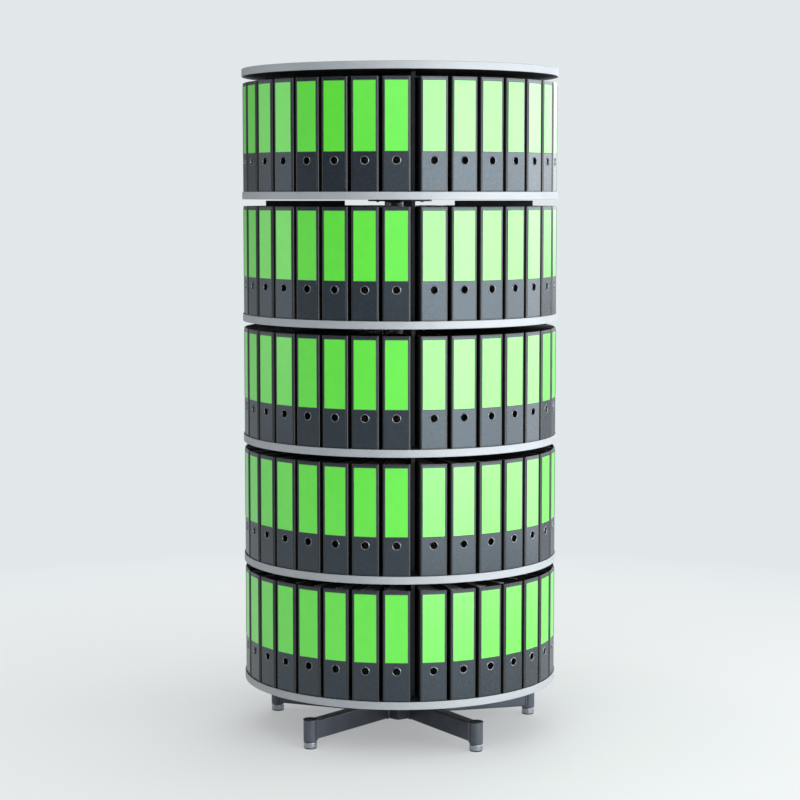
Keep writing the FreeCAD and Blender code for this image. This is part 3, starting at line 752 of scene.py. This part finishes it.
def build_foot(number):
    """A turned pad on a threaded stem, with a rubber sole."""
    turn = math.radians(STAR_TURN + (number - 1) * 360 / ARMS)
    centre = Matrix.Translation((FOOT_RADIUS * math.cos(turn), FOOT_RADIUS * math.sin(turn), 0))
    body = f"foot_{number}"
    core, pad = 0.0045, 0.019
    pad_low, pad_high = 0.0035, 0.020
    bm = bmesh.new()
    low, high = pad_high - 0.001, 0.058
    rod = [(0, low), (core, low), (core, high - 0.0006), (0.0038, high), (0, high)]
    add_turned(bm, rod, 28, ring=False)
    stem = made(bm, f"{body}_stem", ZINC)
    run_tree(stem, THREAD, ZINC, Radius=core + 0.0001, Depth=0.00038, Turns=24.0, Length=0.036,
             Low=pad_high + 0.0005)
    stem.data.transform(centre)
    fitted(stem, body, "steel")

    bm = bmesh.new()
    block = [(0, pad_low, 0), (pad, pad_low, 0.0004), (pad, pad_high, 0.0016), (0, pad_high, 0)]
    walls = [tuple(point) for point in rounded(block, 0.001, 4)]
    groove_low = 0.0060
    groove = [(pad, groove_low), (pad - 0.0006, 0.0062), (pad - 0.0006, 0.0072), (pad, 0.0074)]
    cut = next(index for index, (_, height) in enumerate(walls) if height > groove_low)
    walls[cut:cut] = groove
    add_turned(bm, walls, 56, centre, False)
    fitted(made(bm, f"{body}_pad", FOOT), body, "steel", f"levelling_foot_{number}")

    bm = bmesh.new()
    rubber, top = pad - 0.0008, pad_low + 0.0001
    sole = [(0, 0, 0), (rubber, 0, 0.0014), (rubber, top, 0), (0, top, 0)]
    add_turned(bm, [tuple(point) for point in rounded(sole, 0.001, 3)], 48, centre, False)
    fitted(made(bm, f"{body}_sole", RUBBER), body)


# ---------------------------------------------------------------- column


def build_column():
    """The pipe with its foot plate and bolts, the storeys' collars and rings, and the top plate."""
    bm = bmesh.new()
    low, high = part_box("column_tube")
    pipe = [(PIPE_BORE, low.z), (PIPE_RADIUS, low.z), (PIPE_RADIUS, high.z), (PIPE_BORE, high.z)]
    add_turned(bm, rounded(pipe, 0.0005, 2), 72)
    fitted(made(bm, "column_pipe", PIPE), "base", "steel", "column_tube")

    bm = bmesh.new()
    bore, top, neck_top = PIPE_RADIUS + 0.0001, ARM_HIGH + 0.008, 0.118
    plate = [(bore, ARM_HIGH), (HUB_REACH, ARM_HIGH), (HUB_REACH, top), (0.0385, top, 0.002),
             (0.0381, neck_top), (bore, neck_top)]
    add_turned(bm, rounded(plate, 0.0009, 3), 72)
    flange = made(bm, "column_foot_plate", COAT)
    fitted(flange, "base", "powder_coat", "column_flange")

    bm = bmesh.new()
    at_bolt = Matrix.Translation((FOOT_BOLT_CIRCLE, 0, 0))
    end, head_low, head_high = 0.060, 0.0902, 0.0953
    add_hex_head(bm, 0.013, head_low, head_high, at_bolt)
    shank = [(0, end), (0.0036, end), (0.004, end + 0.0004), (0.004, head_low), (0, head_low)]
    add_turned(bm, shank, 24, at_bolt, False)
    bolts = repeated(bm, "hub_bolts", ZINC, ARMS, STAR_TURN)
    fitted(bolts, "base", "steel", "column_flange_bolts")

    for node, name, slot, finish in (
        ("column_collars", "clamp_collars", "steel", ZINC),
        ("glide_washers", "glide_rings", "glide_plastic", GLIDE),
        ("set_screws", "grub_screws", "steel", ZINC),
        ("top_flange", "top_plate", "powder_coat", COAT),
    ):
        fitted(eased(node, name, finish), "base", slot, node)
    bm = bmesh.new()
    add_pan_head(bm, TOP - BOARD - PLATE)
    screws = repeated(bm, "top_plate_screws", ZINC, groups=4, turn=STAR_TURN)
    fitted(screws, "base", "steel", "top_flange_screws")


def eased(node, name, finish):
    """A node's shape with its sharp edges eased."""
    bm = bmesh.new()
    bm.from_mesh(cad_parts[node].data)
    bmesh.ops.remove_doubles(bm, verts=bm.verts, dist=1e-6)
    bmesh.ops.dissolve_limit(bm, angle_limit=math.radians(0.5), verts=bm.verts, edges=bm.edges)
    thing = made(bm, name, finish)
    ease = thing.modifiers.new("eased edges", "BEVEL")
    ease.width, ease.segments, ease.limit_method = EASED_EDGE, 2, "ANGLE"
    ease.angle_limit = SHARP_ANGLE
    ease.harden_normals = True
    return settled(thing)


def add_pan_head(bm, plate_low):
    """A pan head screw with a dimple, from under a plate up into the board."""
    place = Matrix.Translation((BOARD_SCREW_CIRCLE, 0, plate_low))
    head = [(0, -0.0022), (0.0009, -0.0022), (0.0011, -0.0029), (0.0030, -0.0028),
            (0.0041, -0.0021), (0.0045, -0.0012), (0.0045, 0), (0.00225, 0), (0.00225, 0.0165),
            (0.0012, 0.018), (0, 0.018)]
    add_turned(bm, head, 20, place, False)


# ---------------------------------------------------------------- boards


def build_board(name, body, top, bore, node):
    """A round board up to its rim, with a bore for the column or none."""
    bm = bmesh.new()
    low = top - BOARD
    if bore:
        core = [(bore, low), (CORE_RADIUS, low, 0), (CORE_RADIUS, top, 0), (bore, top)]
        add_turned(bm, rounded(core, 0.0005, 2), 160)
    else:
        core = [(0, low), (CORE_RADIUS, low), (CORE_RADIUS, top), (0, top)]
        add_turned(bm, core, 160, ring=False)
    fitted(made(bm, name, MELAMINE), body, "melamine", node)


def build_rim(name, body, top, node):
    """The silver band round a board."""
    bm = bmesh.new()
    low = top - BOARD
    band = [(CORE_RADIUS, low, 0), (RIM_RADIUS, low, 0.0012), (RIM_RADIUS, top, 0.0012),
            (CORE_RADIUS, top, 0)]
    add_turned(bm, rounded(band, 0.001, 4), 256)
    fitted(made(bm, name, RIM), body, "silver_edge", node)


# ---------------------------------------------------------------- binders


def half_width(radius, inset=0.0):
    """A binder's half width at that distance from the column, less an inset."""
    share = (radius - FORE_EDGE) / (SPINE - FORE_EDGE)
    return HALF_FORE_EDGE + (HALF_SPINE - HALF_FORE_EDGE) * share - inset


ON_EDGE = Matrix(((1, 0, 0, 0), (0, 0, 1, 0), (0, 1, 0, 0), (0, 0, 0, 1)))
FINGER_HOLE = in_front(HOLE_HEIGHT) @ Matrix.Translation((0, 0, SPINE))


def beside_cover(side, inset, radius):
    """X runs outwards along a cover, Y across the binder and Z up, from the middle's height."""
    slope = side * (HALF_SPINE - HALF_FORE_EDGE) / (SPINE - FORE_EDGE)
    along, away = Vector((1, slope)).normalized(), Vector((-slope, 1)).normalized()
    start = Vector((radius, side * half_width(radius, inset), BINDER / 2))
    return Matrix.Translation(start) @ Matrix(
        ((along.x, away.x, 0, 0), (along.y, away.y, 0, 0), (0, 0, 1, 0), (0, 0, 0, 1))
    )


def slot_outline(level, spread=0.0):
    """The oblong of a slot that stands over an arch's top, spread outwards by that much."""
    up = SLOT_HALF_HEIGHT + spread
    return rectangle(SLOT_HALF_LENGTH + spread, level - up, level + up, up * 0.98, 5, guard=0)


def binder_cover(slotted=False):
    """Two sides and the spine, with the finger hole."""
    inner = SPINE - COVER
    deep, thin = half_width(inner, COVER), half_width(FORE_EDGE, COVER)
    plan = [
        (FORE_EDGE, -HALF_FORE_EDGE), (SPINE, -HALF_SPINE, 0.004), (SPINE, HALF_SPINE, 0.004),
        (FORE_EDGE, HALF_FORE_EDGE), (FORE_EDGE, thin), (inner, deep, 0.002),
        (inner, -deep, 0.002), (FORE_EDGE, -thin),
    ]
    bm = bmesh.new()
    add_slab(bm, rounded(plan, 0.0007, 3), 0.0, BINDER, 0.0004)
    cover = bored(made(bm, "cover_pattern", CLOTH), HOLE, 0.01, FINGER_HOLE)
    if slotted:
        bm = bmesh.new()
        for level in ARCH_LEVELS:
            place = beside_cover(1, 0.0, ARCH_CENTRE) @ ON_EDGE
            add_slab(bm, slot_outline(level), -0.006, 0.006, place=place)
        pierced(cover, made(bm, "drill", None))
    return cover


def add_slot_rims(bm):
    """The nickel rims of the slots in one cover."""
    place = beside_cover(1, 0.0, ARCH_CENTRE) @ ON_EDGE
    profile = [(0.0018, -0.0001), (0.0018, 0.0004), (0.0008, 0.0007), (-0.0001, 0.0004),
               (-0.0001, -0.0026), (0.0001, -0.0026)]
    for level in ARCH_LEVELS:
        add_loops(bm, [
            [(*point, height) for point in slot_outline(level, spread)]
            for spread, height in profile
        ], True, place)


def spine_panel():
    """The panel on the spine, with the finger hole."""
    bm = bmesh.new()
    outline = rectangle(PANEL_HALF, PANEL_LOW, PANEL_HIGH, 0.003)
    add_slab(bm, outline, SPINE - 0.0001, PANEL_FACE, 0.0002, 1, in_front())
    return bored(made(bm, "panel_pattern", SPINE_BOARD), HOLE, 0.01, FINGER_HOLE)


def add_label(bm):
    """The card that lies on the panel."""
    outline = rectangle(LABEL_HALF, LABEL_LOW, LABEL_HIGH, 0.001, 2)
    add_slab(bm, outline, BEDDED, BEDDED + 0.0004, 0.0001, 1, in_front())


def add_pocket_edge(bm):
    """The welded edge of the clear pocket that the label sits in."""
    outer = rectangle(LABEL_HALF + 0.0014, LABEL_LOW - 0.0015, LABEL_HIGH + 0.0015, 0.002, 3)
    inner = rectangle(LABEL_HALF - 0.0001, LABEL_LOW - 0.0001, LABEL_HIGH + 0.0001, 0.001, 3)
    low, high = BEDDED, BEDDED + 0.0007
    loops = [
        [(*point, height) for point in outline]
        for outline, height in ((outer, low), (outer, high - 0.0002), (inner, high), (inner, low))
    ]
    add_loops(bm, loops, True, in_front())


def add_finger_ring(bm, sides):
    """The metal ring in the finger hole: a sleeve with a rounded flange on the panel."""
    bore, sleeve, flange, back = 0.0101, 0.0109, 0.0128, SPINE - 0.0065
    profile = [(bore, back), (sleeve, back), (sleeve, BEDDED), (flange, BEDDED),
               (flange, BEDDED + 0.0005), (flange - 0.0005, BEDDED + 0.0010),
               (0.0114, BEDDED + 0.0013), (bore + 0.0005, BEDDED + 0.0010), (bore, BEDDED)]
    add_turned(bm, profile, sides, in_front(HOLE_HEIGHT))


def add_pages(bm):
    """The block of sheets, with a map across the sheets for their edges."""
    inner, outer, inset = FORE_EDGE + 0.008, SPINE - COVER - 0.064, COVER + 0.0005
    thin, deep = half_width(inner, inset), half_width(outer, inset)
    corners = [(inner, -thin), (outer, -deep), (outer, deep), (inner, thin)]
    add_slab(bm, rounded(corners, 0.0005, 2), PAGES_LOW, PAGES_HIGH, 0.0003, 1)
    sheets = bm.loops.layers.uv.new("sheets")
    for face in bm.faces:
        for loop in face.loops:
            x, y, z = loop.vert.co
            loop[sheets].uv = (y / half_width(x, inset) * 0.03, x + z)


def add_mechanism(bm, sides, bends, lever):
    """The lever arch mechanism on the inside of one cover: plate, two arches and the lever."""
    place = beside_cover(-1, COVER, ARCH_CENTRE)
    plate = rectangle(0.024, -0.062, 0.062, 0.003, 2)
    at_plate = place @ Matrix.Translation((0.013, 0, 0)) @ ON_EDGE
    add_slab(bm, plate, 0.0002, 0.0014, place=at_plate)
    bow = [math.pi * bend / bends for bend in range(bends + 1)]
    arch = [(-ARCH_RADIUS, 0.001)]
    arch += [(-ARCH_RADIUS * math.cos(t), ARCH_POST + ARCH_RADIUS * math.sin(t)) for t in bow]
    arch += [(ARCH_RADIUS, 0.001)]
    for level in ARCH_LEVELS:
        add_wire(bm, [place @ Vector((*point, level)) for point in arch], ARCH_WIRE, sides)
    if lever:
        pivot = 0.027
        bar = [(0.0035, -0.030), (0.007, -0.046), (0.010, -0.062), (0.010, -0.100),
               (0.013, -0.112), (0.018, -0.116)]
        swell = [0.9, 1.0, 1.0, 1.0, 1.3, 1.1]
        axle = [(0.0040, -0.044), (0.0040, 0.044)]
        for path, radius, shares in ((bar, 0.0032, swell), (axle, 0.0022, None)):
            points = [place @ Vector((pivot, *point)) for point in path]
            add_wire(bm, points, radius, sides, shares)


def build_binders(tier):
    """The storey's 31 binders that stand in groups."""
    around = {
        "groups": DIVIDERS, "turn": TIER_TURN + BESIDE_DIVIDER, "each": BINDERS_PER_GROUP,
        "step": BINDER_STEP, "omitted": 1, "lift": SHELF[tier], "seed": tier,
    }
    for add, name, finish, slot in (
        (lambda bm: bm.from_mesh(COVER_PATTERN), "binder_covers", CLOTH, "binder_board"),
        (lambda bm: bm.from_mesh(PANEL_PATTERN), "spine_panels", SPINE_BOARD, "binder_cover"),
        (add_label, "labels", LABEL, None),
        (add_pocket_edge, "label_pockets", POCKET, None),
        (lambda bm: add_finger_ring(bm, 20), "finger_rings", RING, None),
        (add_pages, "page_blocks", PAPER, "paper"),
        (lambda bm: add_mechanism(bm, 5, 5, False), "lever_arches", NICKEL, None),
    ):
        bm = bmesh.new()
        add(bm)
        pieces = repeated(bm, f"tier_{tier}_{name}", finish, **around)
        nodes = [f"tier_{tier}_binders"] if name == "binder_covers" else []
        fitted(pieces, f"tier_{tier}", slot, *nodes)


def build_pull_binder(tier):
    """The storey's binder that slides out."""
    place = turned_by(PULL_TURN) @ Matrix.Translation((0, 0, SHELF[tier] + PULL_GAP))
    nodes = {"cover": [f"tier_{tier}_pull_binder"], "pages": [f"tier_{tier}_pull_papers"]}
    for add, name, finish, slot in (
        (lambda bm: bm.from_mesh(SLOTTED_PATTERN), "cover", CLOTH, "binder_cover"),
        (lambda bm: bm.from_mesh(PANEL_PATTERN), "spine_panel", SPINE_BOARD, "binder_cover"),
        (add_label, "label", LABEL, None),
        (add_pocket_edge, "label_pocket", POCKET, None),
        (lambda bm: add_finger_ring(bm, 40), "finger_ring", RING, None),
        (add_slot_rims, "slot_rims", NICKEL, None),
        (add_pages, "pages", PAPER, "paper"),
        (lambda bm: add_mechanism(bm, 12, 16, True), "lever_arch", NICKEL, None),
    ):
        bm = bmesh.new()
        add(bm)
        bmesh.ops.transform(bm, matrix=place, verts=bm.verts)
        piece = made(bm, f"pull_{tier}_{name}", finish)
        fitted(piece, f"pull_{tier}", slot, *nodes.get(name, []))


# ---------------------------------------------------------------- storeys


def build_tier(tier):
    """A storey: the board with its rim and hub, the dividers, the screws and the binders."""
    body, top = f"tier_{tier}", SHELF[tier]
    build_board(f"{body}_shelf", body, top, BOARD_BORE, f"{body}_board")
    build_rim(f"{body}_rim", body, top, f"{body}_edge_band")
    fitted(eased(f"{body}_hub", f"{body}_sleeve_hub", COAT), body, "powder_coat", f"{body}_hub")

    bm = bmesh.new()
    plan = [(DIVIDER_INNER, -DIVIDER_HALF), (DIVIDER_OUTER, -DIVIDER_HALF),
            (DIVIDER_OUTER, DIVIDER_HALF), (DIVIDER_INNER, DIVIDER_HALF)]
    add_slab(bm, rounded(plan, 0.0012, 3), 0.0, DIVIDER_HEIGHT, 0.0008)
    panels = repeated(bm, f"{body}_radial_panels", MELAMINE, DIVIDERS, TIER_TURN, lift=top)
    fitted(panels, body, "melamine", f"{body}_dividers")

    bm = bmesh.new()
    add_pan_head(bm, -BOARD - PLATE)
    countersunk = [(0, 0.0009), (0.0010, 0.0009), (0.0012, 0.0001), (0.0043, 0),
                   (0.0045, 0.0003), (0.00225, 0.003), (0.00225, 0.049), (0, 0.050)]
    for radius in DIVIDER_SCREWS:
        add_turned(bm, countersunk, 20, Matrix.Translation((radius, 0, -BOARD)), False)
    screws = repeated(bm, f"{body}_wood_screws", ZINC, DIVIDERS, TIER_TURN, lift=top)
    fitted(screws, body, "steel", f"{body}_screws")

    build_binders(tier)
    build_pull_binder(tier)


COVER_PATTERN = taken(binder_cover())
SLOTTED_PATTERN = taken(binder_cover(slotted=True))
PANEL_PATTERN = taken(spine_panel())
build_base()
build_column()
build_board("top_cover_board", "base", TOP, None, "top_board")
build_rim("top_rim", "base", TOP, "top_edge_band")
for tier in TIERS:
    build_tier(tier)


# ---------------------------------------------------------------- studio


def studio_floor():
    """A wide pale floor that runs out into the backdrop's colour."""
    f = Finish("studio floor")
    distance = f.put("VectorMath", {0: f.place}, operation="LENGTH")["Value"]
    seen = f.put("LightPath", {})
    mirrored = f.calc("MAXIMUM", seen["Is Glossy Ray"], seen["Is Transmission Ray"])
    direct = f.calc("MAXIMUM", seen["Is Camera Ray"], f.calc("MULTIPLY", mirrored, 0.5))
    share = f.calc("MULTIPLY", f.band(distance, 0.4, 3.0, 0.35, 1.0), direct)
    paint = f.put("BsdfDiffuse", {"Color": (0.87, 0.88, 0.885, 1)})[0]
    colour = f.mix(f.band(distance, 1.2, 3.2), (0.96, 0.98, 0.985), BACKDROP)
    bright = f.put("Emission", {"Color": colour, "Strength": 1.0})[0]
    both = f.put("MixShader", {0: share, 1: paint, 2: bright})[0]
    f.put("OutputMaterial", {0: both})
    bm = bmesh.new()
    far, under = 60, -0.1
    disc = [(0, 0), (1.5, 0), (4, 0), (12, 0), (far, 0), (far, under), (0, under)]
    add_turned(bm, disc, 96, ring=False)
    floor = made(bm, "studio_floor", f.material)


def studio_world():
    """Even pale surroundings for the camera, and a room with a dark and a bright end for gloss."""
    world = bpy.data.worlds.new("studio")
    bpy.context.scene.world = world
    world.use_nodes = True
    world.node_tree.nodes.clear()

    def put(kind, inputs, **settings):
        return put_node(world.node_tree, f"ShaderNode{kind}", inputs, **settings)

    def ramp(value, low, high, to_low, to_high):
        return put("MapRange", {0: value, 1: low, 2: high, 3: to_low, 4: to_high})[0]

    direction = put("SeparateXYZ", {0: put("TexCoord", {})["Generated"]})
    behind = ramp(direction["Y"], -0.6, 0.6, 0.05, 0.24)
    right = ramp(direction["X"], -0.20, 0.50, 0.0, 2.7)
    low = ramp(direction["Z"], 0.12, 0.55, 1.0, 0.15)
    end = put("Math", {0: right, 1: low}, operation="MULTIPLY")[0]
    glow = put("Math", {0: behind, 1: end}, operation="ADD")[0]
    seen = put("LightPath", {})
    rays = (
        ("Is Camera Ray", (*BACKDROP, 1), 1.0),
        ("Is Glossy Ray", (0.92, 0.97, 1.0, 1), glow),
        ("Is Transmission Ray", (*BACKDROP, 1), 1.0),
    )
    shade = put("Background", {"Color": (0.94, 0.97, 1.0, 1), "Strength": 0.30})[0]
    for ray, colour, strength in rays:
        bright = put("Background", {"Color": colour, "Strength": strength})[0]
        shade = put("MixShader", {0: seen[ray], 1: shade, 2: bright})[0]
    put("OutputWorld", {0: shade})


def softbox(name, place, aim, width, height, brightness):
    """An area lamp as bright as a white surface times brightness."""
    lamp = bpy.data.lights.new(name, "AREA")
    lamp.shape, lamp.size, lamp.size_y = "RECTANGLE", width, height
    lamp.energy = brightness * math.pi * width * height
    lamp.color = (0.95, 0.98, 1.0)
    thing = bpy.data.objects.new(name, lamp)
    bpy.context.scene.collection.objects.link(thing)
    thing.location = place
    thing.rotation_euler = (Vector(aim) - Vector(place)).to_track_quat("-Z", "Y").to_euler()


def camera(distance, height, down, focal_length):
    """An eye in front of the column that looks down by some degrees."""
    lens = bpy.data.cameras.new("camera")
    lens.sensor_width, lens.lens = 36.0, focal_length
    lens.clip_start, lens.clip_end = 0.1, 200.0
    eye = bpy.data.objects.new("camera", lens)
    bpy.context.scene.collection.objects.link(eye)
    eye.location = (0.0, -distance, height)
    eye.rotation_euler = (math.radians(90.0 - down), 0.0, 0.0)
    bpy.context.scene.camera = eye


bpy.context.scene.view_settings.view_transform = "Standard"
studio_floor()
studio_world()
for name, place, aim_height, width, height, brightness in (
    ("key softbox", (2.50, -2.59, 1.25), 1.15, 3.8, 2.4, 2.9),
    ("side softbox", (3.37, 0.47, 1.25), 1.15, 2.0, 2.4, 2.4),
    ("front softbox", (-0.9, -4.3, 4.1), 0.9, 4.2, 2.8, 1.9),
    ("left softbox", (-3.7, 0.2, 1.9), 1.0, 2.4, 2.6, 0.8),
    ("back softbox", (1.2, 4.6, 3.4), 1.0, 4.0, 2.8, 2.4),
):
    softbox(name, place, (0, 0, aim_height), width, height, brightness)
camera(distance=6.434, height=1.607, down=5.5, focal_length=96.5)
